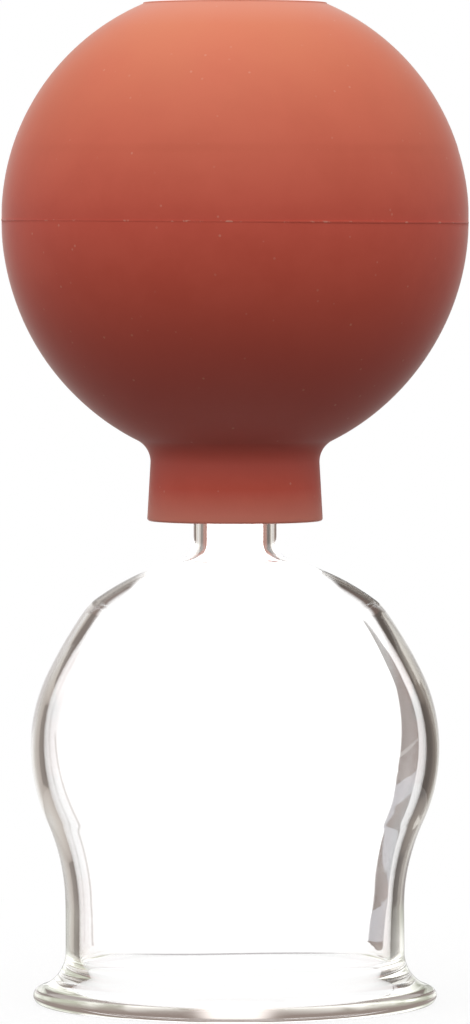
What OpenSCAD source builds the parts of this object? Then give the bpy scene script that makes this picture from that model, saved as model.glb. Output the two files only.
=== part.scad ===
// Cupping glass: a blown glass bell with a hollow rubber suction ball pushed onto its neck.
// Millimetres. The origin is the centre of the flat rim, and +Z runs up the axis to the ball.
// Every piece is a section in the XY plane, X outwards and Y up, turned about the axis.

/* [Glass rim] */
// Outside diameter of the rim
rim_d = 47.6; // [46:0.1:54]
// Radius of the rim's round outer edge
lip_r = 0.85; // [0.5:0.05:1.1]
// Radius of the outside flare between waist and rim
flare_r = 4.5; // [3.5:0.1:6]
// Radius of the inside edge of the mouth
mouth_r = 3.2; // [1.5:0.1:4]

/* [Glass bell] */
// Wall thickness of the glass
glass_wall = 1.6; // [0.8:0.05:2]
// Outside diameter at the waist
waist_d = 40; // [34:0.1:42]
// Height of the upper end of the straight waist
waist_z = 11; // [8:0.1:14]
// Outside diameter at the belly, the widest place
belly_d = 48.3; // [46:0.1:54]
// Height of the belly
belly_z = 30.2; // [27:0.1:36]
// Radius of the belly's curve below its widest place
belly_low_r = 21.5; // [14:0.5:28]
// Radius of the belly's curve above its widest place
belly_top_r = 20; // [10:0.5:24]
// Lean of the wall from upright where the belly's curve ends, in degrees
side_lean = 26; // [15:1:30]
// Radius of the long curve from the belly to the knee
side_r = 50; // [46:1:90]
// Outside diameter at the knee between side and shoulder
knee_d = 35.6; // [31:0.1:38]
// Radius of the knee
knee_r = 6; // [2.2:0.1:8]
// Lean of the wall from upright where the shoulder starts, in degrees
shoulder_lean = 54; // [45:1:60]
// Radius of the shoulder's curve
shoulder_r = 29; // [24:0.5:60]

/* [Glass neck] */
// Outside diameter of the neck
neck_d = 9.8; // [8:0.1:13]
// Radius of the fillet between shoulder and neck
neck_fillet = 2.2; // [1:0.1:4]
// Length of straight neck that shows under the collar
neck_bare = 2.5; // [0.5:0.1:5]
// Length of neck that stands past the collar's bore into the ball
neck_past = 2; // [1:0.1:5]

/* [Rubber collar] */
// Radial clearance between the neck and the collar's bore
neck_fit = 0.05; // [0.02:0.01:0.1]
// Outside diameter of the collar at its lower edge
collar_edge_d = 20.7; // [18:0.1:26]
// Outside diameter of the collar where it meets the ball
collar_top_d = 19.7; // [17:0.1:24]
// Height of the collar
collar_h = 8.7; // [6:0.1:14]
// Radius of the collar's lower outer edge
collar_edge_r = 0.5; // [0.2:0.05:1]
// Radius of the fillet between collar and ball
collar_fillet = 2.8; // [1:0.1:3.5]

/* [Rubber ball] */
// Outside diameter of the ball
ball_d = 55; // [48:0.5:70]
// Wall thickness of the ball
ball_wall = 2.8; // [2:0.1:4]
// Extra radius of the ball's curve below the seam, which makes the lower half fuller
under_more = 1.6; // [0:0.1:3]
// Height of the lap that joins the two halves at the seam
seam_lap = 1.5; // [0.5:0.1:3]
// Diameter of the flat pad on the crown
pad_d = 21.6; // [14:0.1:26]
// Height of the pad's upright edge
pad_step = 0.15; // [0.05:0.05:0.6]
// Thickness of the crown under the pad
crown_t = 2.4; // [1.5:0.1:4]

/* [Hidden] */
$fn = 160;
// Straight steps in each arc of the glass's outline
arc_steps = 8;

// Direction at an angle from +X, and a vector brought to length 1
function heading(a) = [cos(a), sin(a)];
function unit(v) = v / norm(v);

// Outside radii of the glass, and the inside of its waist and neck
rim_out = rim_d / 2;
waist_out = waist_d / 2;
waist_in = waist_out - glass_wall;
belly_out = belly_d / 2;
knee_out = knee_d / 2;
neck_out = neck_d / 2;
neck_in = neck_out - glass_wall;

// Rim: the flare's circle touches the circle of the round outer edge, and the rounding of the mouth's edge
// leaves a flat ring that is at least as wide as that circle's radius
lip_c = [rim_out - lip_r, lip_r];
flare_x = waist_out + flare_r;
flare_c = [flare_x, lip_c.y + sqrt((flare_r + lip_r) ^ 2 - (flare_x - lip_c.x) ^ 2)];
flare_lean = atan2(flare_c.y - lip_c.y, flare_c.x - lip_c.x);
mouth_round = min(mouth_r, lip_c.x - waist_in - lip_r);
mouth_c = [waist_in + mouth_round, mouth_round];

// Waist to belly: two arcs that touch, so their radii add up to a sum set by step and rise
bell_step = belly_out - waist_out;
bell_rise = belly_z - waist_z;
bell_radii = (bell_step ^ 2 + bell_rise ^ 2) / (2 * bell_step);
bell_lean = asin(bell_rise / bell_radii);
waist_r = bell_radii - belly_low_r;
waist_c = [waist_out + waist_r, waist_z];
belly_low_c = [belly_out - belly_low_r, belly_z];

// Belly to neck: each arc starts where the one before it ends, in the same direction
belly_top_c = [belly_out - belly_top_r, belly_z];
side_c = belly_top_c - (side_r - belly_top_r) * heading(side_lean);
knee_lean = acos((knee_out - side_c.x) / side_r);
knee_c = side_c + (side_r - knee_r) * heading(knee_lean);
shoulder_c = knee_c - (shoulder_r - knee_r) * heading(shoulder_lean);
fillet_x = neck_out + neck_fillet;
fillet_reach = shoulder_r + neck_fillet;
neck_lean = acos((fillet_x - shoulder_c.x) / fillet_reach);
fillet_c = shoulder_c + fillet_reach * heading(neck_lean);

// Collar: its lower edge, its upper corner on the ball, and the directions down and out of its side
bore_r = neck_out + neck_fit;
collar_z = fillet_c.y + neck_bare;
collar_edge = [collar_edge_d / 2, collar_z];
collar_top = [collar_top_d / 2, collar_z + collar_h];
collar_down = unit(collar_edge - collar_top);
collar_out = [-collar_down.y, collar_down.x];

// Ball: its centre follows from where its lower curve, about a centre past the axis, meets the collar
ball_r = ball_d / 2;
cavity_r = ball_r - ball_wall;
lap_r = ball_r - ball_wall / 2;
under_r = ball_r + under_more;
ball_z = collar_top.y + sqrt(under_r ^ 2 - (collar_top.x + under_more) ^ 2);
ball_c = [0, ball_z];
under_c = [-under_more, ball_z];
bore_top = ball_z - sqrt(cavity_r ^ 2 - bore_r ^ 2);
neck_end_c = [neck_out - glass_wall / 2, bore_top + neck_past - glass_wall / 2];

// Fillet between collar and ball: its circle touches the collar's side and the ball's lower curve
turn_from = collar_top + collar_out * collar_fillet - under_c;
turn_along = turn_from * collar_down;
turn_drop = sqrt(turn_along ^ 2 - turn_from * turn_from + (under_r + collar_fillet) ^ 2) - turn_along;
turn_c = collar_top + collar_out * collar_fillet + collar_down * turn_drop;
turn_end = under_c + unit(turn_c - under_c) * (under_r - collar_fillet);

// Crown: the pad's upright edge starts where the ball is as wide as the pad
pad_out = pad_d / 2;
pad_z = ball_z + sqrt(ball_r ^ 2 - pad_out ^ 2);
pad_top = pad_z + pad_step;
crown_z = pad_z - crown_t;

// What a rounding of radius r cuts off a corner at p whose sides run along u and v
module corner_cut(p, u, v, r) {
    half = acos(u * v) / 2;
    c = p + unit(u + v) * r / sin(half);
    outside = 2 * p - c;
    difference() {
        polygon([outside, p + u * r / tan(half), c, p + v * r / tan(half)]);
        translate(c) circle(r = r);
    }
}

// Upright panel from the axis out to radius r, between two heights
module panel(r, z_from, z_to) {
    polygon([[0, z_from], [r, z_from], [r, z_to], [0, z_to]]);
}

// Section from the axis out to a circle of radius r about c, between two heights
module round_slice(c, r, z_from, z_to) {
    intersection() {
        translate(c) circle(r = r);
        panel(c.x + r, z_from, z_to);
    }
}

// Space inside the seam's lap, from the equator up to the lap's end
module lap_space() {
    panel(lap_r, ball_z, ball_z + seam_lap);
}

// Points of an arc about c from one angle to another, without its last one, with which the next stretch starts
function arc(c, r, a_from, a_to) = [
    for (i = [0 : arc_steps - 1]) c + r * heading(a_from + (a_to - a_from) * i / arc_steps)
];

function reversed(points) = [for (i = [len(points) - 1 : -1 : 0]) points[i]];

// Face of the bell's wall at a depth below its outside, from the waist up to the straight neck
function bell_face(depth) = concat(
    arc(waist_c, waist_r + depth, 180, 180 - bell_lean),
    arc(belly_low_c, belly_low_r - depth, -bell_lean, 0),
    arc(belly_top_c, belly_top_r - depth, 0, side_lean),
    arc(side_c, side_r - depth, side_lean, knee_lean),
    arc(knee_c, knee_r - depth, knee_lean, shoulder_lean),
    arc(shoulder_c, shoulder_r - depth, shoulder_lean, neck_lean),
    arc(fillet_c, neck_fillet + depth, 180 + neck_lean, 180),
    [[neck_out - depth, fillet_c.y]]
);

// Outline of the glass: up its outside from the flat rim, round the neck's end, and down its inside
glass_outline = concat(
    arc(lip_c, lip_r, -90, flare_lean),
    arc(flare_c, flare_r, flare_lean + 180, 180),
    [[waist_out, flare_c.y]],
    bell_face(0),
    arc(neck_end_c, glass_wall / 2, 0, 180),
    [[neck_in, neck_end_c.y]],
    reversed(bell_face(glass_wall)),
    arc(mouth_c, mouth_round, 180, 270),
    [[mouth_c.x, 0]]
);

module glass_cup() {
    color([0.85, 0.92, 0.92, 0.4]) rotate_extrude() polygon(glass_outline);
}

module bulb_lower_half() {
    color("indianred") rotate_extrude() difference() {
        union() {
            round_slice(under_c, under_r, ball_z - under_r, ball_z);
            lap_space();
            polygon([
                [0, collar_z], collar_edge, collar_top + collar_down * turn_drop, turn_c,
                turn_end, [0, turn_end.y]
            ]);
        }
        translate(turn_c) circle(r = collar_fillet);
        translate(ball_c) circle(r = cavity_r);
        panel(bore_r, collar_z, ball_z);
        corner_cut(collar_edge, [-1, 0], -collar_down, collar_edge_r);
    }
}

module bulb_upper_half() {
    color("indianred") rotate_extrude() difference() {
        round_slice(ball_c, ball_r, ball_z, crown_z);
        round_slice(ball_c, cavity_r, ball_z, crown_z);
        lap_space();
    }
}

module bulb_crown() {
    color("salmon") rotate_extrude() {
        round_slice(ball_c, ball_r, crown_z, pad_top);
        panel(pad_out, crown_z, pad_top);
    }
}

glass_cup();
bulb_lower_half();
bulb_upper_half();
bulb_crown();
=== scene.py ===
import math

import bpy
import numpy as np
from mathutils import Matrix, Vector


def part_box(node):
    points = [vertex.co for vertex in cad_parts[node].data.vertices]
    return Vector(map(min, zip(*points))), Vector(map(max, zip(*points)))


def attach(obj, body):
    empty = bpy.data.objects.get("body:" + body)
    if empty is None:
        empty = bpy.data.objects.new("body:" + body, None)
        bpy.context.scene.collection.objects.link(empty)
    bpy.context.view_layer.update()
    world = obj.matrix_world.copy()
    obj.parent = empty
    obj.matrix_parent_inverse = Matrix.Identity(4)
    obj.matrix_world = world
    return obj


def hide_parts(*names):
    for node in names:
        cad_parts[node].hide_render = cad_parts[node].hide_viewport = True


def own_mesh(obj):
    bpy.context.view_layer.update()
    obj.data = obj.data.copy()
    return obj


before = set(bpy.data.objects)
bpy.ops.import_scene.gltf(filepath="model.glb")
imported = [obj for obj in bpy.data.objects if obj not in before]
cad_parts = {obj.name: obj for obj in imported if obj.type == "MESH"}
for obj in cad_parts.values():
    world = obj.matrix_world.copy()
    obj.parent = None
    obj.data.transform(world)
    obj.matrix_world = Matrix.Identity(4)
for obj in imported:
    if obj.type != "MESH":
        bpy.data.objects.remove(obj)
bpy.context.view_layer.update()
scene = bpy.context.scene
scene.view_settings.view_transform = "Standard"
print("frame loaded:", ", ".join(sorted(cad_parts)))


# Curves of a profile, as rows of (radius, height)
samePoint = 1e-8   # points closer than this are one point
axisReach = 1e-9   # a point closer to the axis than this is a pole
mmPerMetre = 1000


# Arc: centre plus radius times (cos a, sin a), with a going evenly between two angles in degrees
def arcPoints(centre, radius, fromDeg, toDeg, steps):
    a = np.radians(np.linspace(fromDeg, toDeg, steps + 1))
    return np.column_stack((centre[0] + radius * np.cos(a), centre[1] + radius * np.sin(a)))


# Line: start plus share times (end minus start)
def linePoints(start, end, steps):
    share = np.linspace(0, 1, steps + 1)[:, None]
    return np.array(start) * (1 - share) + np.array(end) * share


# Stretches laid end to end, without the point that two neighbours share
def joinStretches(*stretches):
    points = np.vstack(stretches)
    moved = np.linalg.norm(np.diff(points, axis=0), axis=1) > samePoint
    return points[np.concatenate(([True], moved))]


def heading(deg):
    return np.array((math.cos(math.radians(deg)), math.sin(math.radians(deg))))


def unit(v):
    return np.array(v) / np.linalg.norm(v)


def angleOf(v):
    return math.degrees(math.atan2(v[1], v[0]))


# Slow waves: the sum of share times (sine minus 1), where the sine is of turns times angle plus slope times
# height plus phase, so a wall only ever goes inwards. The inside of a wall has a phase of its own.
def slowWaves(t, h, waves, inside=0):
    lift = 0
    for share, turns, slope, phase, insidePhase in waves:
        lift = lift + share * (np.sin(turns * t + slope * h + insidePhase * inside + phase) - 1)
    return lift


# Turned surface: profile point (r, h) at angle t lies at (r cos t, r sin t, h). The profile runs with the
# material on its left, so faces point outwards. An end on the axis becomes one pole with a fan of triangles,
# and a profile with no end on the axis closes on itself. lift adds to the radius at each angle and height,
# and sway adds to the height. restHeight keeps each point's height for the finish of a pressed piece.
def turnProfile(name, profile, around, lift=None, sway=None, sharpDeg=32):
    onAxis = profile[:, 0] < axisReach
    ring = profile[~onAxis]
    t = np.linspace(0, 2 * math.pi, around, endpoint=False)[None, :]
    flat = np.zeros((len(ring), around))
    r = ring[:, 0][:, None] + flat + (0 if lift is None else lift(t, ring))
    h = ring[:, 1][:, None] + flat + (0 if sway is None else sway(t, ring))
    points = np.stack((r * np.cos(t), r * np.sin(t), h), axis=-1).reshape(-1, 3)
    rows = len(ring)
    closed = not onAxis.any()
    i = np.arange(rows if closed else rows - 1)[:, None]
    j = np.arange(around)[None, :]
    nextRow = (i + 1) % rows
    nextTurn = (j + 1) % around
    corners = (i * around + j, i * around + nextTurn, nextRow * around + nextTurn, nextRow * around + j)
    faces = np.stack(corners, axis=-1).reshape(-1, 4).tolist()
    turn = np.arange(around)
    after = (turn + 1) % around
    for end, row, first, second in ((0, 0, after, turn), (-1, rows - 1, turn, after)):
        if onAxis[end]:
            pole = np.full(around, len(points))
            points = np.vstack((points, (0, 0, profile[end, 1])))
            faces += np.column_stack((pole, row * around + first, row * around + second)).tolist()
    mesh = bpy.data.meshes.new(name)
    mesh.from_pydata(points.tolist(), [], faces)
    mesh.polygons.foreach_set("use_smooth", np.ones(len(mesh.polygons), bool))
    mesh.set_sharp_from_angle(angle=math.radians(sharpDeg))
    mesh.attributes.new("restHeight", "FLOAT", "POINT").data.foreach_set("value", points[:, 2])
    mesh.update()
    piece = bpy.data.objects.new(name, mesh)
    scene.collection.objects.link(piece)
    return piece


# Material nodes

def newMaterial(name):
    material = bpy.data.materials.new(name)
    material.use_nodes = True
    material.node_tree.nodes.clear()
    return material, material.node_tree


# A number or colour is set on a socket, and another node's output is linked to it
def setOrLink(tree, socket, value):
    if isinstance(value, bpy.types.NodeSocket):
        tree.links.new(value, socket)
    else:
        socket.default_value = value


# A node with its settings, then its inputs by name, or by number as i0, i1 and so on
def addNode(tree, kind, settings=None, **inputs):
    node = tree.nodes.new(kind)
    for key, value in (settings or {}).items():
        setattr(node, key, value)
    for key, value in inputs.items():
        socket = node.inputs[int(key[1:])] if key[0] == "i" and key[1:].isdigit() else node.inputs[key]
        setOrLink(tree, socket, value)
    return node


def mathNode(tree, operation, first, second=0.0, clamp=False):
    settings = {"operation": operation, "use_clamp": clamp}
    return addNode(tree, "ShaderNodeMath", settings, i0=first, i1=second).outputs[0]


# Value carried from one span to another and kept inside it, eased at both ends or even
def mapSpan(tree, value, span, to=(0.0, 1.0), eased=True):
    kind = "SMOOTHSTEP" if eased else "LINEAR"
    node = addNode(tree, "ShaderNodeMapRange", {"interpolation_type": kind, "clamp": True}, Value=value)
    for socket, number in zip(("From Min", "From Max", "To Min", "To Max"), (*span, *to)):
        node.inputs[socket].default_value = number
    return node.outputs["Result"]


# Share inside a band, eased at both its edges
def insideBand(tree, value, edges):
    a, b, c, d = edges
    return mathNode(tree, "MULTIPLY", mapSpan(tree, value, (a, b)), mapSpan(tree, value, (c, d), (1, 0)))


def mixColour(tree, share, first, second):
    node = addNode(tree, "ShaderNodeMix", {"data_type": "RGBA"}, Factor=share)
    setOrLink(tree, node.inputs[6], first)
    setOrLink(tree, node.inputs[7], second)
    return node.outputs[2]


def mixShader(tree, share, first, second):
    return addNode(tree, "ShaderNodeMixShader", None, i0=share, i1=first, i2=second).outputs[0]


# Colour read off a scale of (value, colour) stops, even between neighbours
def colourScale(tree, value, stops):
    first, last = stops[0][0], stops[-1][0]
    node = addNode(tree, "ShaderNodeValToRGB", None, Fac=mapSpan(tree, value, (first, last), eased=False))
    elements = node.color_ramp.elements
    for at, (stop, colour) in enumerate(stops):
        place = (stop - first) / (last - first)
        element = elements[at] if at < 2 else elements.new(place)
        element.position = place
        element.color = (*colour, 1)
    return node.outputs["Color"]


# Number read off a scale of (value, number) stops, even between neighbours
def numberScale(tree, value, stops):
    numbers = [number for stop, number in stops]
    low, high = min(numbers), max(numbers)
    levels = [(stop, ((number - low) / (high - low),) * 3) for stop, number in stops]
    return mapSpan(tree, colourScale(tree, value, levels), (0, 1), (low, high), eased=False)


def noiseNode(tree, place, scale, detail, roughness=0.5):
    return addNode(tree, "ShaderNodeTexNoise", None, Vector=place, Scale=scale, Detail=detail,
                   Roughness=roughness).outputs["Fac"]


def grey(level):
    return (level, level, level, 1)


# Light Path counts in whole steps, so a limit lies half a step past its count
def moreThan(tree, depth, count):
    return mathNode(tree, "GREATER_THAN", depth, mathNode(tree, "ADD", count, 0.5))


def atMost(tree, depth, count):
    return mathNode(tree, "LESS_THAN", depth, mathNode(tree, "ADD", count, 0.5))


# Camera at the photograph's eye level, which is the height of the ball's middle
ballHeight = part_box("bulb_upper_half")[0].z
shot = {
    "distance": 0.85,
    "eyeHeight": ballHeight,
    "lens": 254,
    "sensor": 36,
    "pitchDeg": 2.32,
    "nearest": 0.01,
    "furthest": 20,
}


def makeCamera():
    data = bpy.data.cameras.new("camera")
    data.lens = shot["lens"]
    data.sensor_width = shot["sensor"]
    data.clip_start = shot["nearest"]
    data.clip_end = shot["furthest"]
    camera = bpy.data.objects.new("camera", data)
    camera.location = (0, -shot["distance"], shot["eyeHeight"])
    camera.rotation_euler = (math.radians(90 - shot["pitchDeg"]), 0, 0)
    scene.collection.objects.link(camera)
    scene.camera = camera


makeCamera()
print("camera set at", shot["distance"], "m")


# Glass bell: sizes in metres and degrees, rim down and neck up
bell = {
    "rimRadius": 0.0238,
    "lipCurve": 0.00085,
    "flareCurve": 0.0045,
    "mouthCurve": 0.0032,
    "wall": 0.0016,
    "waistRadius": 0.020,
    "waistHeight": 0.011,
    "bellyRadius": 0.02415,
    "bellyHeight": 0.0302,
    "bellyLowCurve": 0.0215,
    "bellyTopCurve": 0.020,
    "sideLean": 26,
    "sideCurve": 0.050,
    "kneeRadius": 0.0178,
    "kneeCurve": 0.006,
    "shoulderLean": 54,
    "shoulderCurve": 0.029,
    "neckRadius": 0.0049,
    "neckFillet": 0.0022,
    "neckTop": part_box("glass_cup")[1].z,
    "around": 256,
    "thinning": 0.00017,
    "ripple": 0.00003,
    "rippleHeights": (4, 12, 42, 50),   # in mm, from none to all and back
    # share, turns, slope per mm, phase and the inside's phase of each wave
    "waves": ((1, 2, 0.09, 0, 1.7), (0.6, 3, -0.17, 1.1, 3.4), (0.4, 5, 0.31, 0.4, 5.1)),
}


# Bell wall from waist to neck: arcs that follow each other in one direction. Hollow arcs grow and full
# arcs shrink by depth, so one chain gives the outside at depth 0 and the inside at the wall's thickness.
def bellWall(depth):
    b = bell
    step = b["bellyRadius"] - b["waistRadius"]
    rise = b["bellyHeight"] - b["waistHeight"]
    radii = (step ** 2 + rise ** 2) / (2 * step)
    bellLean = math.degrees(math.asin(rise / radii))
    waistCurve = radii - b["bellyLowCurve"]
    waistMiddle = np.array((b["waistRadius"] + waistCurve, b["waistHeight"]))
    lowMiddle = np.array((b["bellyRadius"] - b["bellyLowCurve"], b["bellyHeight"]))
    topMiddle = np.array((b["bellyRadius"] - b["bellyTopCurve"], b["bellyHeight"]))
    sideMiddle = topMiddle - (b["sideCurve"] - b["bellyTopCurve"]) * heading(b["sideLean"])
    kneeLean = math.degrees(math.acos((b["kneeRadius"] - sideMiddle[0]) / b["sideCurve"]))
    kneeMiddle = sideMiddle + (b["sideCurve"] - b["kneeCurve"]) * heading(kneeLean)
    shoulderMiddle = kneeMiddle - (b["shoulderCurve"] - b["kneeCurve"]) * heading(b["shoulderLean"])
    reach = b["shoulderCurve"] + b["neckFillet"]
    neckLean = math.degrees(math.acos((b["neckRadius"] + b["neckFillet"] - shoulderMiddle[0]) / reach))
    filletMiddle = shoulderMiddle + reach * heading(neckLean)
    return joinStretches(
        arcPoints(waistMiddle, waistCurve + depth, 180, 180 - bellLean, steps=26),
        arcPoints(lowMiddle, b["bellyLowCurve"] - depth, -bellLean, 0, steps=24),
        arcPoints(topMiddle, b["bellyTopCurve"] - depth, 0, b["sideLean"], steps=16),
        arcPoints(sideMiddle, b["sideCurve"] - depth, b["sideLean"], kneeLean, steps=16),
        arcPoints(kneeMiddle, b["kneeCurve"] - depth, kneeLean, b["shoulderLean"], steps=12),
        arcPoints(shoulderMiddle, b["shoulderCurve"] - depth, b["shoulderLean"], neckLean, steps=26),
        arcPoints(filletMiddle, b["neckFillet"] + depth, 180 + neckLean, 180, steps=16),
    )


# Whole section of the glass: round lip, flare, waist, wall and neck, over the neck's round end, and down the
# inside to the curve of the mouth, which meets the lip in the flat ring that the glass stands on
def bellProfile():
    b = bell
    waistInside = b["waistRadius"] - b["wall"]
    neckInside = b["neckRadius"] - b["wall"]
    lipMiddle = np.array((b["rimRadius"] - b["lipCurve"], b["lipCurve"]))
    flareAway = b["waistRadius"] + b["flareCurve"]
    flareRise = math.sqrt((b["flareCurve"] + b["lipCurve"]) ** 2 - (flareAway - lipMiddle[0]) ** 2)
    flareMiddle = np.array((flareAway, lipMiddle[1] + flareRise))
    touchDeg = angleOf(flareMiddle - lipMiddle)
    endMiddle = (b["neckRadius"] - b["wall"] / 2, b["neckTop"] - b["wall"] / 2)
    outside = bellWall(0)
    inside = bellWall(b["wall"])[::-1]
    return joinStretches(
        arcPoints(lipMiddle, b["lipCurve"], -90, touchDeg, steps=20),
        arcPoints(flareMiddle, b["flareCurve"], 180 + touchDeg, 180, steps=22),
        linePoints((b["waistRadius"], flareMiddle[1]), outside[0], steps=8),
        outside,
        linePoints(outside[-1], (b["neckRadius"], endMiddle[1]), steps=10),
        arcPoints(endMiddle, b["wall"] / 2, 0, 180, steps=12),
        linePoints((neckInside, endMiddle[1]), inside[0], steps=10),
        inside,
        linePoints(inside[-1], (waistInside, b["mouthCurve"]), steps=10),
        arcPoints((waistInside + b["mouthCurve"], b["mouthCurve"]), b["mouthCurve"], 180, 270, steps=14),
    )


# Blown wall: thinner where it was blown out, with slow waves round and up the wall, none at rim and neck
def bellRipple(t, ring):
    h = ring[:, 1][:, None] * mmPerMetre
    middle = np.interp(h, bell["rippleHeights"], (0, 1, 1, 0))
    inside = np.where(np.gradient(ring[:, 1])[:, None] > 0, 0.0, 1.0)
    ripple = bell["ripple"] * slowWaves(t, h, bell["waves"], inside)
    return middle * (ripple + bell["thinning"] * inside)


# Finish of the glass: heights and widths in metres
glass = {
    "ior": 1.5,
    "deepBounces": 2,
    # rimDark, rimPale, rimMiddle and belly are colours of the painted glow for light bounced inside the wall
    "rimDark": (0.20, 0.205, 0.165, 1),
    "rimPale": (0.62, 0.62, 0.58, 1),
    "rimMiddle": (0.40, 0.365, 0.345, 1),
    "belly": (0.10, 0.08, 0.07, 1),
    "rimHeights": (0.009, 0.013),
    "streakScale": 75.0,
    "streaks": (0.46, 0.58),
    "middleWidth": (0.0035, 0.0085),
    "middleTop": (0.022, 0.028),
    "filletHeights": (0.0498, 0.0505, 0.0535, 0.0543),
    "turnedHeights": (0.0520, 0.0526),
    "turnedBounces": 1,
    "footHeights": (0.0506, 0.0512, 0.0520, 0.0526),
    "footBounces": 0,
    "neckHeights": (0.0498, 0.0505, 0.0600, 0.0605),
}


# Clear glass with a painted glow. Light that has bounced inside the wall many times is replaced by emitted
# colour: streaky grey-green in the thick rim, an even grey along its middle, and dark above it. Where bell
# and neck meet, light that the glass turns, and all light that comes to the neck's far side, is replaced by a
# painted white glow.
def glassMaterial():
    g = glass
    material, tree = newMaterial("clear_blown_glass")
    path = addNode(tree, "ShaderNodeLightPath").outputs
    place = addNode(tree, "ShaderNodeTexCoord").outputs["Object"]
    axes = addNode(tree, "ShaderNodeSeparateXYZ", None, Vector=place).outputs
    height = axes["Z"]
    streak = noiseNode(tree, place, g["streakScale"], detail=3.0)
    # Colours of the painted glow: streaky grey-green in the rim, dark above it, grey along the middle
    rim = mixColour(tree, mapSpan(tree, streak, g["streaks"]), g["rimDark"], g["rimPale"])
    sides = mixColour(tree, mapSpan(tree, height, g["rimHeights"]), rim, g["belly"])
    sideways = mathNode(tree, "ABSOLUTE", axes["X"])
    middle = mathNode(tree, "MULTIPLY", mapSpan(tree, height, g["middleTop"], (1, 0)),
                      mapSpan(tree, sideways, g["middleWidth"], (1, 0)))
    lower = mixColour(tree, middle, sides, g["rimMiddle"])
    inFillet = mapSpan(tree, height, g["turnedHeights"], (g["deepBounces"], g["turnedBounces"]))
    inFoot = mapSpan(tree, insideBand(tree, height, g["footHeights"]), (0, 1),
                     (g["deepBounces"], g["footBounces"]))
    enough = mathNode(tree, "MINIMUM", inFillet, inFoot)
    turned = mathNode(tree, "MULTIPLY", moreThan(tree, path["Glossy Depth"], enough),
                      insideBand(tree, height, g["filletHeights"]))
    across = mathNode(tree, "MULTIPLY", moreThan(tree, path["Transmission Depth"], 1),
                      insideBand(tree, height, g["neckHeights"]))
    # Painted white glow where bell and neck meet and on the neck's far side
    whiteGlow = mathNode(tree, "MAXIMUM", turned, across)
    # Painted glow for light that bounced inside the wall many times
    deep = moreThan(tree, path["Glossy Depth"], g["deepBounces"])
    shader = addNode(tree, "ShaderNodeBsdfPrincipled", None, **{
        "Base Color": grey(1), "Roughness": 0.0, "IOR": g["ior"], "Transmission Weight": 1.0,
        "Emission Color": mixColour(tree, whiteGlow, lower, grey(1)),
        "Emission Strength": mathNode(tree, "MAXIMUM", deep, whiteGlow),
    })
    addNode(tree, "ShaderNodeOutputMaterial", None, Surface=shader.outputs[0])
    material.cycles.emission_sampling = "NONE"
    return material


def makeBell():
    piece = turnProfile("glass_bell", bellProfile(), bell["around"], bellRipple)
    piece.data.materials.append(glassMaterial())
    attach(piece, "glass")
    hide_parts("glass_cup")


makeBell()
print("glass bell turned")


# Rubber ball: sizes in metres
ball = {
    "radius": (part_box("bulb_upper_half")[1].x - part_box("bulb_upper_half")[0].x) / 2,
    "height": ballHeight,
    "wall": 0.0028,
    "underMore": 0.0016,
    "lapHeight": 0.0015,
    "crownHeight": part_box("bulb_crown")[0].z,
    "padRadius": 0.0108,
    "padTop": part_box("bulb_crown")[1].z,
    "padStep": 0.00015,
    "padCurve": 0.00012,
    "collarBottom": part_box("bulb_lower_half")[0].z,
    "collarEdge": 0.01035,
    "collarTop": 0.00985,
    "collarTall": 0.0087,
    "collarCurve": 0.0003,
    "filletCurve": 0.0028,
    "bore": 0.00495,
    "around": 224,
    "seamDeg": 4,    # rows are finer this close to the seam
    "crownDeg": 1,   # and this close to the crown's edge
    "skinStart": 0.012,   # least radius of the outside, at this height over the collar's lower edge
    "skinSeam": 0.0262,   # and at the seam
    "uneven": 0.000015,
    "unevenHeights": (-25, -21, 17, 21),   # in mm from the seam, from none to all and back
    # share, turns, slope per mm and phase of each wave, with the inside as it is
    "waves": ((1, 2, 0.11, 0, 0), (0.7, 3, -0.19, 0.8, 0), (0.4, 7, 0.5, 0, 0)),
    "trimDepth": 0.00003,
    "trimWidth": 0.0014,
}


# Angle above the ball's equator at which a sphere of the given radius has a height
def degAtHeight(height, radius):
    return math.degrees(math.asin((height - ball["height"]) / radius))


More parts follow.
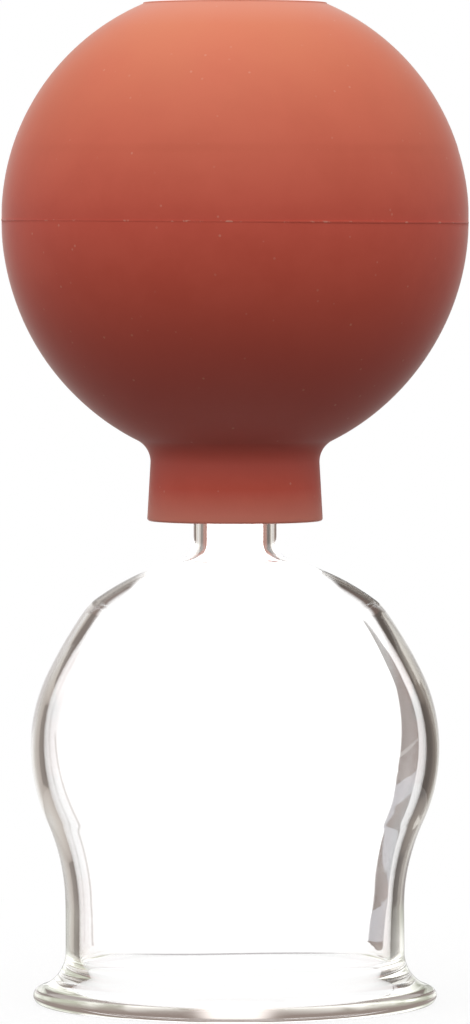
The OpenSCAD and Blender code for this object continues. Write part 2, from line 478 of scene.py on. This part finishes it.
# Lower half: collar, fillet and the fuller outer curve up to the seam, then the lap and the cavity
def lowerProfile():
    b = ball
    middle = (0, b["height"])
    cavity = b["radius"] - b["wall"]
    lapRadius = b["radius"] - b["wall"] / 2
    edge = np.array((b["collarEdge"], b["collarBottom"]))
    top = np.array((b["collarTop"], b["collarBottom"] + b["collarTall"]))
    down = unit(edge - top)
    out = np.array((-down[1], down[0]))
    underMiddle = np.array((-b["underMore"], b["height"]))
    underRadius = b["radius"] + b["underMore"]
    # The fillet's circle touches the collar's side and the outer curve
    start = top + out * b["filletCurve"] - underMiddle
    along = start @ down
    drop = math.sqrt(along ** 2 - start @ start + (underRadius + b["filletCurve"]) ** 2) - along
    turnMiddle = top + out * b["filletCurve"] + down * drop
    turnFrom = angleOf(-out) % 360
    turnTo = angleOf(underMiddle - turnMiddle) % 360
    underFrom = angleOf(turnMiddle - underMiddle)
    inwards = np.array((-1, 0))
    edgeHalf = math.acos(inwards @ -down) / 2
    edgeMiddle = edge + unit(inwards - down) * b["collarCurve"] / math.sin(edgeHalf)
    edgeTop = angleOf(out)
    lapTop = b["height"] + b["lapHeight"]
    boreDeg = -math.degrees(math.acos(b["bore"] / cavity))
    boreTop = b["height"] + cavity * math.sin(math.radians(boreDeg))
    return joinStretches(
        linePoints((b["bore"], b["collarBottom"]), (edgeMiddle[0], b["collarBottom"]), steps=12),
        arcPoints(edgeMiddle, b["collarCurve"], -90, edgeTop, steps=10),
        linePoints(edgeMiddle + b["collarCurve"] * heading(edgeTop), top + down * drop, steps=16),
        arcPoints(turnMiddle, b["filletCurve"], turnFrom, turnTo, steps=16),
        arcPoints(underMiddle, underRadius, underFrom, -b["seamDeg"], steps=56),
        arcPoints(underMiddle, underRadius, -b["seamDeg"], 0, steps=12),
        linePoints((b["radius"], b["height"]), (lapRadius, b["height"]), steps=3),
        linePoints((lapRadius, b["height"]), (lapRadius, lapTop), steps=3),
        linePoints((lapRadius, lapTop), (math.sqrt(cavity ** 2 - b["lapHeight"] ** 2), lapTop), steps=3),
        arcPoints(middle, cavity, degAtHeight(lapTop, cavity), boreDeg, steps=60),
        linePoints((b["bore"], boreTop), (b["bore"], b["collarBottom"]), steps=12),
    )


# Upper half: outer sphere from the seam to the crown, then down the cavity and round the lap
def upperProfile():
    b = ball
    middle = (0, b["height"])
    cavity = b["radius"] - b["wall"]
    lapRadius = b["radius"] - b["wall"] / 2
    lapTop = b["height"] + b["lapHeight"]
    outerDeg = degAtHeight(b["crownHeight"], b["radius"])
    innerDeg = degAtHeight(b["crownHeight"], cavity)
    fineDeg = outerDeg - b["crownDeg"]
    return joinStretches(
        arcPoints(middle, b["radius"], 0, b["seamDeg"], steps=12),
        arcPoints(middle, b["radius"], b["seamDeg"], fineDeg, steps=52),
        arcPoints(middle, b["radius"], fineDeg, outerDeg, steps=6),
        linePoints((b["radius"] * math.cos(math.radians(outerDeg)), b["crownHeight"]),
                   (cavity * math.cos(math.radians(innerDeg)), b["crownHeight"]), steps=6),
        arcPoints(middle, cavity, innerDeg, degAtHeight(lapTop, cavity), steps=56),
        linePoints((math.sqrt(cavity ** 2 - b["lapHeight"] ** 2), lapTop), (lapRadius, lapTop), steps=3),
        linePoints((lapRadius, lapTop), (lapRadius, b["height"]), steps=3),
        linePoints((lapRadius, b["height"]), (b["radius"], b["height"]), steps=3),
    )[:-1]


# Crown: flat underside, outer sphere up to the pad, the pad's low upright edge and its flat top
def crownProfile():
    b = ball
    middle = (0, b["height"])
    padFoot = b["padTop"] - b["padStep"]
    fromDeg = degAtHeight(b["crownHeight"], b["radius"])
    toDeg = degAtHeight(padFoot, b["radius"])
    fineDeg = fromDeg + b["crownDeg"]
    edgeMiddle = (b["padRadius"] - b["padCurve"], b["padTop"] - b["padCurve"])
    crownOut = b["radius"] * math.cos(math.radians(fromDeg))
    return joinStretches(
        linePoints((0, b["crownHeight"]), (crownOut, b["crownHeight"]), steps=10),
        arcPoints(middle, b["radius"], fromDeg, fineDeg, steps=6),
        arcPoints(middle, b["radius"], fineDeg, toDeg, steps=12),
        linePoints((b["padRadius"], padFoot), (b["padRadius"], edgeMiddle[1]), steps=1),
        arcPoints(edgeMiddle, b["padCurve"], 0, 90, steps=5),
        linePoints((edgeMiddle[0], b["padTop"]), (0, b["padTop"]), steps=14),
    )


# Moulded ball: hardly uneven round and up, and a little flatter beside the seam where it was trimmed
def ballUneven(t, ring):
    b = ball
    h = (ring[:, 1][:, None] - b["height"]) * mmPerMetre
    skinHeights = (b["collarBottom"] + b["skinStart"], b["height"])
    least = np.interp(ring[:, 1], skinHeights, (b["skinStart"], b["skinSeam"]))
    outside = ring[:, 0][:, None] > least[:, None]
    fade = np.interp(h, b["unevenHeights"], (0, 1, 1, 0))
    trim = b["trimDepth"] * np.exp(-(h / (b["trimWidth"] * mmPerMetre)) ** 2)
    return np.where(outside, b["uneven"] * fade * slowWaves(t, h, b["waves"]) - trim, 0)


# Finish of the rubber: heights in metres, scales of the patterns per metre
rubber = {
    "deep": (0.70, 0.098, 0.056, 1),
    "plain": (0.745, 0.112, 0.066, 1),
    # painted shade: a darker, greyer tone under the ball and on the collar's top, where the ball shades them
    "underShade": (0.60, 0.100, 0.070, 1),
    # paler and more orange towards the top: partly dust bloom, partly painted top light
    "bloomAndTopLight": (0.76, 0.215, 0.10, 1),
    # powder on the crown, and the colour of the painted glow on the collar's lower edge
    "powderAndGlow": (0.78, 0.29, 0.21, 1),
    "speck": (0.82, 0.40, 0.30, 1),
    "crease": (0.42, 0.055, 0.035, 1),
    "mottleScale": 140.0,
    "mottle": (0.3, 0.7),
    "underShadeHeights": (0.0600, 0.0655, 0.0705, 0.0885),
    "bloomAndLightTop": 0.027,
    "cloudScale": 60.0,
    "cloud": (0.25, 0.75),
    "cloudShare": (0.85, 1.15),
    # painted glow: the collar's lower edge is paler, as if lit by the white below
    "edgeTall": 0.0040,
    "edgeGlow": 0.75,
    "crownTall": 0.003,
    "crownPowder": 0.45,
    "speckScale": 600.0,
    "speckSize": (0.05, 0.12),
    "speckPick": (0.35, 0.95),
    "speckShare": 0.4,
    "fleckScale": 700.0,
    "fleck": (0.57, 0.68),
    "fleckShare": 0.6,
    "creaseShare": 0.1,
    "roughness": 0.58,
    "ior": 1.45,
    "sheen": 0.6,
    "sheenRoughness": 0.3,
    "sheenTint": (1, 0.9, 0.84, 1),
    "grainScale": 2600.0,
    "grainStrength": 0.06,
    "grainDepth": 0.0001,
}


# Terracotta rubber: slow mottle, painted shade under the ball and on the collar's top, a pale bloom towards
# the top that is partly dust and partly painted top light, powder on the crown, a painted glow on the
# collar's lower edge, sparse pale specks and a fine moulded grain. Flecked rubber, on the seam, has pale
# lumps for specks and is a little darker.
def rubberMaterial(name, flecked=False):
    r = rubber
    material, tree = newMaterial(name)
    place = addNode(tree, "ShaderNodeTexCoord").outputs["Object"]
    height = addNode(tree, "ShaderNodeAttribute", {"attribute_name": "restHeight"}).outputs["Fac"]
    mottle = mapSpan(tree, noiseNode(tree, place, r["mottleScale"], detail=4.0, roughness=0.6), r["mottle"])
    body = mixColour(tree, mottle, r["deep"], r["plain"])
    # Painted shade: darker and greyer under the ball and on the collar's top
    shadedBody = mixColour(tree, insideBand(tree, height, r["underShadeHeights"]), body, r["underShade"])
    # Partly dust bloom and partly painted top light: paler towards the top, in patches
    rise = mapSpan(tree, height, (ballHeight, ballHeight + r["bloomAndLightTop"]), eased=False)
    cloud = mapSpan(tree, noiseNode(tree, place, r["cloudScale"], detail=3.0), r["cloud"], r["cloudShare"])
    litBloom = mixColour(tree, mathNode(tree, "MULTIPLY", rise, cloud), shadedBody, r["bloomAndTopLight"])
    # Painted glow on the collar's lower edge, and powder on the crown
    edgeTop = ball["collarBottom"] + r["edgeTall"]
    edge = mapSpan(tree, height, (ball["collarBottom"], edgeTop), (r["edgeGlow"], 0), eased=False)
    crownFoot = ball["padTop"] - r["crownTall"]
    crown = mapSpan(tree, height, (crownFoot, ball["padTop"]), (0, r["crownPowder"]), eased=False)
    dustAndLight = mixColour(tree, mathNode(tree, "MAXIMUM", edge, crown), litBloom, r["powderAndGlow"])
    if flecked:
        lumps = noiseNode(tree, place, r["fleckScale"], detail=3.0, roughness=0.65)
        speckShare = mapSpan(tree, lumps, r["fleck"], (0, r["fleckShare"]))
        dustAndLight = mixColour(tree, r["creaseShare"], dustAndLight, r["crease"])
    else:
        cells = addNode(tree, "ShaderNodeTexVoronoi", None, Vector=place, Scale=r["speckScale"]).outputs
        dot = mapSpan(tree, cells["Distance"], r["speckSize"], (1, 0))
        pick = addNode(tree, "ShaderNodeSeparateColor", None, Color=cells["Color"]).outputs[0]
        picked = mapSpan(tree, pick, r["speckPick"], (0, r["speckShare"]))
        speckShare = mathNode(tree, "MULTIPLY", dot, picked)
    colour = mixColour(tree, speckShare, dustAndLight, r["speck"])
    grain = noiseNode(tree, place, r["grainScale"], detail=2.0)
    bump = addNode(tree, "ShaderNodeBump", None, Height=grain, Strength=r["grainStrength"],
                   Distance=r["grainDepth"])
    shader = addNode(tree, "ShaderNodeBsdfPrincipled", None, **{
        "Base Color": colour, "Roughness": r["roughness"], "IOR": r["ior"], "Normal": bump.outputs[0],
        "Sheen Weight": r["sheen"], "Sheen Roughness": r["sheenRoughness"], "Sheen Tint": r["sheenTint"],
    })
    addNode(tree, "ShaderNodeOutputMaterial", None, Surface=shader.outputs[0])
    return material


# Three turned pieces in place of the frame's ball parts, and the upper half gets a mesh of its own
def makeBall():
    finish = rubberMaterial("terracotta_rubber")
    pieces = {}
    for name, profile, body, node in (
        ("ball_lower_half", lowerProfile(), "bulb", "bulb_lower_half"),
        ("ball_upper_half", upperProfile(), "bulb", "bulb_upper_half"),
        ("ball_crown", crownProfile(), "crown", "bulb_crown"),
    ):
        piece = turnProfile(name, profile, ball["around"], ballUneven)
        piece.data.materials.append(finish)
        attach(piece, body)
        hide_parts(node)
        pieces[name] = piece
    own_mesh(pieces["ball_upper_half"])


makeBall()
print("rubber ball turned")


# Seam: the thin flash left at the ball's equator, which runs a little askew
seam = {
    "halfHeight": 0.00010,
    "sunk": 0.00022,
    "proud": 0.000006,
    "below": 0.00022,
    "askew": 0.00016,
    "steps": 8,
    "around": 360,
}


# Flash: a low ridge on the ball's side, a squared cosine from below to above, closed inside the wall
def makeSeam():
    s = seam
    a = np.radians(np.linspace(-90, 90, s["steps"] + 1))
    foot = ball["radius"] - ball["trimDepth"]
    middle = ball["height"] - s["below"]
    ridge = np.column_stack((foot + s["proud"] * np.cos(a) ** 2, middle + s["halfHeight"] * a / a[-1]))
    back = [(foot - s["sunk"], middle + s["halfHeight"]), (foot - s["sunk"], middle - s["halfHeight"])]
    profile = np.vstack((ridge, back))

    def askew(t, ring):
        return -s["askew"] * np.cos(t)

    piece = turnProfile("ball_seam", profile, s["around"], None, askew)
    piece.data.materials.append(rubberMaterial("flecked_rubber", flecked=True))
    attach(piece, "bulb")


makeSeam()
print("seam laid")


# Floor: a small pale disc that the rim stands on, in metres
disc = {
    "radius": 0.13,
    "rings": 7,
    "around": 96,
    "low": 0.00001,
    "paint": 0.8,
    "glow": 1.03,
    "glowShare": 0.84,
    "shine": 0.4,
    "dim": 0.03,
    "mouthRadius": (0.0203, 0.0207),
}


# Disc: ring r at angle t lies at (r cos t, r sin t), just under the rim, with a fan round its middle
def floorMesh():
    d = disc
    r = np.linspace(0, d["radius"], d["rings"])[1:, None]
    t = np.linspace(0, 2 * math.pi, d["around"], endpoint=False)[None, :]
    low = np.full((len(r), d["around"]), -d["low"])
    points = np.stack((r * np.cos(t), r * np.sin(t), low), axis=-1).reshape(-1, 3)
    points = np.vstack((points, (0, 0, -d["low"])))
    j = np.arange(d["around"])
    after = (j + 1) % d["around"]
    fan = np.column_stack((np.full(d["around"], len(points) - 1), j, after))
    inner = np.arange(len(r) - 1)[:, None] * d["around"]
    outer = inner + d["around"]
    quads = np.stack((inner + j, outer + j, outer + after, inner + after), axis=-1).reshape(-1, 4)
    mesh = bpy.data.meshes.new("floor")
    mesh.from_pydata(points.tolist(), [], fan.tolist() + quads.tolist())
    return mesh


# Pale floor: almost white with the shadow on it, greyer where the glass mirrors it, and dim to other light.
# Through the glass it shows white inside the mouth, and round it only the background shows.
def floorMaterial():
    d = disc
    material, tree = newMaterial("pale_floor")
    path = addNode(tree, "ShaderNodeLightPath").outputs
    place = addNode(tree, "ShaderNodeTexCoord").outputs["Object"]
    reach = addNode(tree, "ShaderNodeVectorMath", {"operation": "LENGTH"}, i0=place).outputs["Value"]
    pale = addNode(tree, "ShaderNodeBsdfDiffuse", None, Color=grey(d["paint"])).outputs[0]
    dim = addNode(tree, "ShaderNodeBsdfDiffuse", None, Color=grey(d["dim"])).outputs[0]
    shine = addNode(tree, "ShaderNodeEmission", None, Color=grey(1), Strength=d["shine"]).outputs[0]
    glow = addNode(tree, "ShaderNodeEmission", None, Color=grey(1), Strength=d["glow"]).outputs[0]
    clear = addNode(tree, "ShaderNodeBsdfTransparent").outputs[0]
    seenThrough = mixShader(tree, mapSpan(tree, reach, d["mouthRadius"]), glow, clear)
    unseen = mixShader(tree, path["Is Glossy Ray"], dim, shine)
    shown = mixShader(tree, d["glowShare"], pale, glow)
    plain = mixShader(tree, path["Is Camera Ray"], unseen, shown)
    final = mixShader(tree, path["Is Transmission Ray"], plain, seenThrough)
    addNode(tree, "ShaderNodeOutputMaterial", None, Surface=final)
    material.cycles.emission_sampling = "NONE"
    return material


def makeFloor():
    mesh = floorMesh()
    mesh.materials.append(floorMaterial())
    floor = bpy.data.objects.new("floor", mesh)
    scene.collection.objects.link(floor)


makeFloor()
print("floor laid")


# Sky, part by part. Heights and distances aside are those of a direction of length 1.

# Soft light on the rubber
soft = {
    "heights": (-0.36, 0.9),
    "level": 1.19,
    "front": -0.3,
    "right": -0.1,
    "behind": 0.5,
    "behindSpan": (0.45, 0.95),
}


# Brighter overhead, a little more from the front and left than from the back and right, and a glow from the
# white background behind, which lights the rubber's edges
def softLight(tree, axes):
    rise = mapSpan(tree, axes["Z"], soft["heights"], (0.0, soft["level"]), eased=False)
    front = mathNode(tree, "MULTIPLY", axes["Y"], soft["front"])
    right = mathNode(tree, "MULTIPLY", axes["X"], soft["right"])
    lean = mathNode(tree, "ADD", mathNode(tree, "ADD", front, right), 1.0)
    behind = mapSpan(tree, axes["Y"], soft["behindSpan"], (0, soft["behind"]))
    return mathNode(tree, "ADD", mathNode(tree, "MULTIPLY", rise, lean), behind)


# White that shows straight through the glass, with a thin line to the left
through = {
    "middle": 1.4,
    "side": 1.12,
    "sideSpan": (0.13, 0.21),
    "top": 0.4,
    "topSpan": (0.05, 0.12),
    "line": (-0.220, -0.213, -0.206, -0.199),
    "lineHeights": (-0.20, -0.17, -0.065, -0.05),
    "lineColour": (0.70, 0.67, 0.65, 1),
}

# Dark cards beside the bell: colours by degrees into the card, and shifts of its edge in degrees by height
cards = {
    "left": ((4, (0.95, 0.94, 0.92)), (9, (0.88, 0.86, 0.82)), (14, (0.74, 0.70, 0.64)),
             (20, (0.64, 0.58, 0.52)), (25, (0.52, 0.46, 0.41)), (27.5, (0.42, 0.36, 0.315)),
             (28.5, (0.20, 0.165, 0.14)), (38, (0.19, 0.155, 0.135)), (48, (0.42, 0.22, 0.175)),
             (80, (0.45, 0.21, 0.165))),
    "right": ((4, (0.85, 0.83, 0.78)), (12, (0.90, 0.86, 0.78)), (15.5, (0.84, 0.79, 0.71)),
              (16.8, (0.27, 0.225, 0.185)), (24, (0.19, 0.155, 0.13)), (28, (0.08, 0.065, 0.055)),
              (38, (0.09, 0.073, 0.06)), (48, (0.42, 0.22, 0.175)), (80, (0.45, 0.21, 0.165))),
    "edgeShift": ((-0.27, -9), (-0.22, -8.4), (-0.18, 0), (0.05, 0), (0.09, -6.6), (0.15, -6), (0.185, 8.4)),
    "eyeSlope": -0.075,
    "shoulderLean": (44, 50, 64, 73),
    "shoulderTurn": (-0.05, 0.05),
    "shoulderDeg": (28, 20),
    "leanCap": (35, 45),
    "leanCapDeg": (80, 40),
    "steepSlope": 0.75,
    "steep": (-0.02, 0.03),
    "steepDeg": 18,
    "topSlope": 1.5,
    "top": (0.02, 0.06),
    "high": (0.28, 0.38),
}


# What several lights need to know of a direction: whether it is to the right, how far it is to the side, its
# rise over the eye's own slope, its lean, the degrees that it gains when it leans as the shoulder does, and
# whether it passes over the cards, whose tops slope up from the middle
def measureDirection(tree, axes):
    c = cards
    sideways = mathNode(tree, "ABSOLUTE", axes["X"])
    rise = mathNode(tree, "SUBTRACT", axes["Z"], c["eyeSlope"])
    lean = mathNode(tree, "DEGREES", mathNode(tree, "ARCTAN2", mathNode(tree, "ABSOLUTE", rise), sideways))
    gain = mathNode(tree, "MULTIPLY", insideBand(tree, lean, c["shoulderLean"]),
                    mapSpan(tree, rise, c["shoulderTurn"], c["shoulderDeg"]))
    over = mathNode(tree, "SUBTRACT", axes["Z"], mathNode(tree, "MULTIPLY", sideways, c["topSlope"]))
    return {
        "right": mathNode(tree, "GREATER_THAN", axes["X"], 0.0),
        "sideways": sideways,
        "rise": rise,
        "lean": lean,
        "gain": gain,
        "overTop": mapSpan(tree, over, c["top"]),
    }


# Whether light went in and out of one wall only, and whether it was also bent along inside that wall
def oneWall(tree, path):
    return atMost(tree, path["Transmission Depth"], 2)


def alongWall(tree, path):
    return mathNode(tree, "MULTIPLY", moreThan(tree, path["Glossy Depth"], 0), oneWall(tree, path))


# Light bent along inside the wall: the further it is bent, the deeper it looks into a dark card, and the
# right card is darker. Each card's edge wanders with height.
def bentLight(tree, axes, seen):
    c = cards
    away = mathNode(tree, "ARCTAN2", seen["sideways"], mathNode(tree, "ABSOLUTE", axes["Y"]))
    shift = numberScale(tree, axes["Z"], c["edgeShift"])
    fromEdge = mathNode(tree, "ADD", mathNode(tree, "DEGREES", away), shift)
    slope = mathNode(tree, "MULTIPLY", seen["sideways"], c["steepSlope"])
    steep = mapSpan(tree, mathNode(tree, "SUBTRACT", axes["Z"], slope), c["steep"], (0, c["steepDeg"]))
    deepIn = mathNode(tree, "ADD", fromEdge, mathNode(tree, "MAXIMUM", steep, seen["gain"]))
    inCard = mathNode(tree, "MINIMUM", deepIn, mapSpan(tree, seen["lean"], c["leanCap"], c["leanCapDeg"]))
    shade = mixColour(tree, seen["right"], colourScale(tree, inCard, c["left"]),
                      colourScale(tree, inCard, c["right"]))
    overCard = mathNode(tree, "MAXIMUM", seen["overTop"], mapSpan(tree, axes["Z"], c["high"]))
    return mixColour(tree, overCard, shade, grey(through["middle"]))


# Grey strip that shows in the white to the right
strip = {
    "inner": (0.146, 0.154),
    "outer": (0.263, 0.273),
    "top": (0.155, 0.178),
    "leanHeights": (-0.09, 0.0),
    "leanIn": (0.010, -0.018),
    "wander": 0.03,
    "wanderHeights": (-0.03, 0.0),
    "warm": (0.14, 0.105, 0.085, 1),
    "pale": (0.46, 0.465, 0.50, 1),
    "paleHeights": (-0.143, -0.138, -0.110, -0.107),
    "paleWander": 0.3,
    "grainScale": 420.0,
    "grain": (0.35, 0.65),
    "grainShare": (0.75, 1.0),
    "smear": (-0.1095, -0.108, -0.1045, -0.103),
    "smearTilt": -0.19,
    "smearShare": 0.18,
}


# Share and colour of the strip. Its inner edge leans, and wanders lower down, and it has a grainy pale
# stretch and a slanting smear.
def stripLight(tree, direction, axes, seen, aside, lump):
    s = strip
    loose = mapSpan(tree, seen["rise"], s["wanderHeights"], (s["wander"], 0))
    wander = mathNode(tree, "MULTIPLY", mathNode(tree, "SUBTRACT", lump, 0.5), loose)
    leanIn = mapSpan(tree, axes["Z"], s["leanHeights"], s["leanIn"], eased=False)
    inward = mathNode(tree, "ADD", axes["X"], mathNode(tree, "ADD", wander, leanIn))
    across = mathNode(tree, "MULTIPLY", mapSpan(tree, inward, s["inner"]),
                      mapSpan(tree, aside, s["outer"], (1, 0)))
    tilted = mathNode(tree, "ADD", axes["Z"], mathNode(tree, "MULTIPLY", axes["X"], s["smearTilt"]))
    smear = mathNode(tree, "MULTIPLY", insideBand(tree, tilted, s["smear"]), s["smearShare"])
    clean = mathNode(tree, "SUBTRACT", mapSpan(tree, seen["rise"], s["top"], (1, 0)), smear, clamp=True)
    wavy = mathNode(tree, "ADD", axes["Z"], mathNode(tree, "MULTIPLY", wander, s["paleWander"]))
    fine = noiseNode(tree, direction, s["grainScale"], detail=2.0)
    grain = mapSpan(tree, fine, s["grain"], s["grainShare"])
    paleShare = mathNode(tree, "MULTIPLY", insideBand(tree, wavy, s["paleHeights"]), grain)
    return mathNode(tree, "MULTIPLY", across, clean), mixColour(tree, paleShare, s["warm"], s["pale"])


# Light that went straight through: white, brightest in the middle and above, with a thin line to the left and
# the strip to the right
def straightLight(tree, direction, axes, seen, lump):
    w = through
    aside = mathNode(tree, "SQRT", mathNode(tree, "ADD", mathNode(tree, "MULTIPLY", axes["X"], axes["X"]),
                                            mathNode(tree, "MULTIPLY", seen["rise"], seen["rise"])))
    white = mathNode(tree, "ADD", mapSpan(tree, aside, w["sideSpan"], (w["middle"], w["side"])),
                     mapSpan(tree, seen["rise"], w["topSpan"], (0, w["top"])))
    signed = mathNode(tree, "MULTIPLY", aside, mathNode(tree, "SIGN", axes["X"]))
    line = mathNode(tree, "MULTIPLY", insideBand(tree, signed, w["line"]),
                    insideBand(tree, axes["Z"], w["lineHeights"]))
    lined = mixColour(tree, line, white, w["lineColour"])
    share, colour = stripLight(tree, direction, axes, seen, aside, lump)
    return mixColour(tree, share, lined, colour)


# What the rim turns away
rimTurn = {
    "down": (-0.65, -0.50),
    "back": (-0.3, 0.1),
    "streaks": (0.35, 0.65),
    "dark": (0.24, 0.225, 0.17, 1),
    "pale": (0.54, 0.515, 0.43, 1),
    "farDown": (-0.93, -0.80),
    "farColour": (0.36, 0.32, 0.34, 1),
}


# The near rim turns light down or back, into a dim streaky grey-green, and the far rim turns what has not
# bounced far down, into a purplish grey. All other light is as it comes.
def rimLight(tree, path, axes, lump, other):
    r = rimTurn
    streak = mixColour(tree, mapSpan(tree, lump, r["streaks"]), r["dark"], r["pale"])
    turned = mathNode(tree, "MAXIMUM", mapSpan(tree, axes["Z"], r["down"], (1, 0)),
                      mapSpan(tree, axes["Y"], r["back"], (1, 0)))
    nearRim = mathNode(tree, "MULTIPLY", turned, oneWall(tree, path))
    farRim = mathNode(tree, "MULTIPLY", mapSpan(tree, axes["Z"], r["farDown"], (1, 0)),
                      atMost(tree, path["Glossy Depth"], 0))
    return mixColour(tree, nearRim, mixColour(tree, farRim, other, r["farColour"]), streak)


# What the outside mirrors
mirror = {
    "heights": (-0.5, -0.15),
    "low": 0.4,
    "leftDeg": (16, 30),
    "left": 0.28,
    "rightDeg": (2, 22),
    "right": 0.12,
    "endDeg": (52, 67),
}


# Bright all round, dim below, and the dark cards behind
def mirroredLight(tree, axes, seen):
    m = mirror
    shine = mapSpan(tree, axes["Z"], m["heights"], (m["low"], 1.0))
    turn = mathNode(tree, "ABSOLUTE", mathNode(tree, "ARCTAN2", axes["X"], axes["Y"]))
    turnDeg = mathNode(tree, "DEGREES", turn)
    inCard = mathNode(tree, "ADD", turnDeg, seen["gain"])
    cardShine = mixColour(tree, seen["right"], mapSpan(tree, inCard, m["leftDeg"], (1.0, m["left"])),
                          mapSpan(tree, inCard, m["rightDeg"], (1.0, m["right"])))
    past = mathNode(tree, "MAXIMUM", mapSpan(tree, turnDeg, m["endDeg"]), seen["overTop"])
    return mixColour(tree, past, cardShine, shine)


# Slow lumps, which the strip's edge and the rim's streaks share
lumpScale = 34.0


def makeSky():
    world = bpy.data.worlds.new("studio_sky")
    world.use_nodes = True
    scene.world = world
    tree = world.node_tree
    tree.nodes.clear()
    path = addNode(tree, "ShaderNodeLightPath").outputs
    direction = addNode(tree, "ShaderNodeTexCoord").outputs["Generated"]
    axes = addNode(tree, "ShaderNodeSeparateXYZ", None, Vector=direction).outputs
    lump = noiseNode(tree, direction, lumpScale, detail=2.0)
    seen = measureDirection(tree, axes)
    straight = straightLight(tree, direction, axes, seen, lump)
    inGlass = mixColour(tree, alongWall(tree, path), straight, bentLight(tree, axes, seen))
    pastRim = rimLight(tree, path, axes, lump, inGlass)
    mirrored = mirroredLight(tree, axes, seen)
    lightOrMirror = mixColour(tree, path["Is Glossy Ray"], softLight(tree, axes), mirrored)
    lightOrGlass = mixColour(tree, path["Is Transmission Ray"], lightOrMirror, pastRim)
    colour = mixColour(tree, path["Is Camera Ray"], lightOrGlass, grey(1))
    back = addNode(tree, "ShaderNodeBackground", None, Color=colour, Strength=1.0)
    addNode(tree, "ShaderNodeOutputWorld", None, Surface=back.outputs[0])


makeSky()
print("sky made")


# Soft lamp overhead
lamp = {
    "place": (-0.15, -0.1, 0.9),
    "size": 0.7,
    "power": 0.8,
}


def makeLamp():
    data = bpy.data.lights.new("overhead_softbox", "AREA")
    data.shape = "DISK"
    data.size = lamp["size"]
    data.energy = lamp["power"]
    softbox = bpy.data.objects.new("overhead_softbox", data)
    softbox.location = lamp["place"]
    scene.collection.objects.link(softbox)


makeLamp()
print("studio lit")
